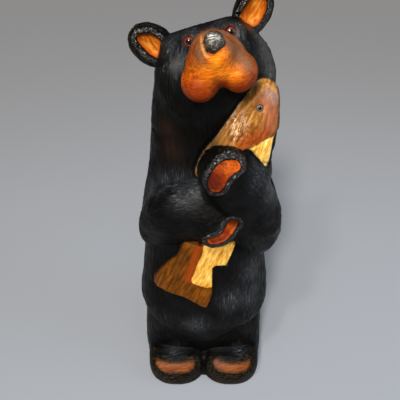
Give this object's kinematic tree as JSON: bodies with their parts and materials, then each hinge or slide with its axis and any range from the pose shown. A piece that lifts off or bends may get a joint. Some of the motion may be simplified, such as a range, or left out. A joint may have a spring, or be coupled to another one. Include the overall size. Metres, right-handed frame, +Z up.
{
  "type": "carved bear figure",
  "caption": "Carved wooden bear standing upright and looking up, hugging a trout across its chest, with glass eyes and a flat underside.",
  "frame": {"origin": "middle of the flat underside that the bear stands on", "axes": "+Z up the bear's height, -Y to the front, which the bear faces, +X to the bear's left"},
  "size_m": [0.1535, 0.153, 0.4273],
  "materials": {
    "painted_wood": "satin paint over carved wood",
    "amber_glass": "gloss, backed with dark red and black",
    "grey_glass": "gloss, backed with silver grey and black"
  },
  "bodies": {
    "root": {"carved_bear": "painted_wood", "right_eye": "amber_glass", "left_eye": "amber_glass", "fish_eye": "grey_glass"}
  },
  "joints": []
}
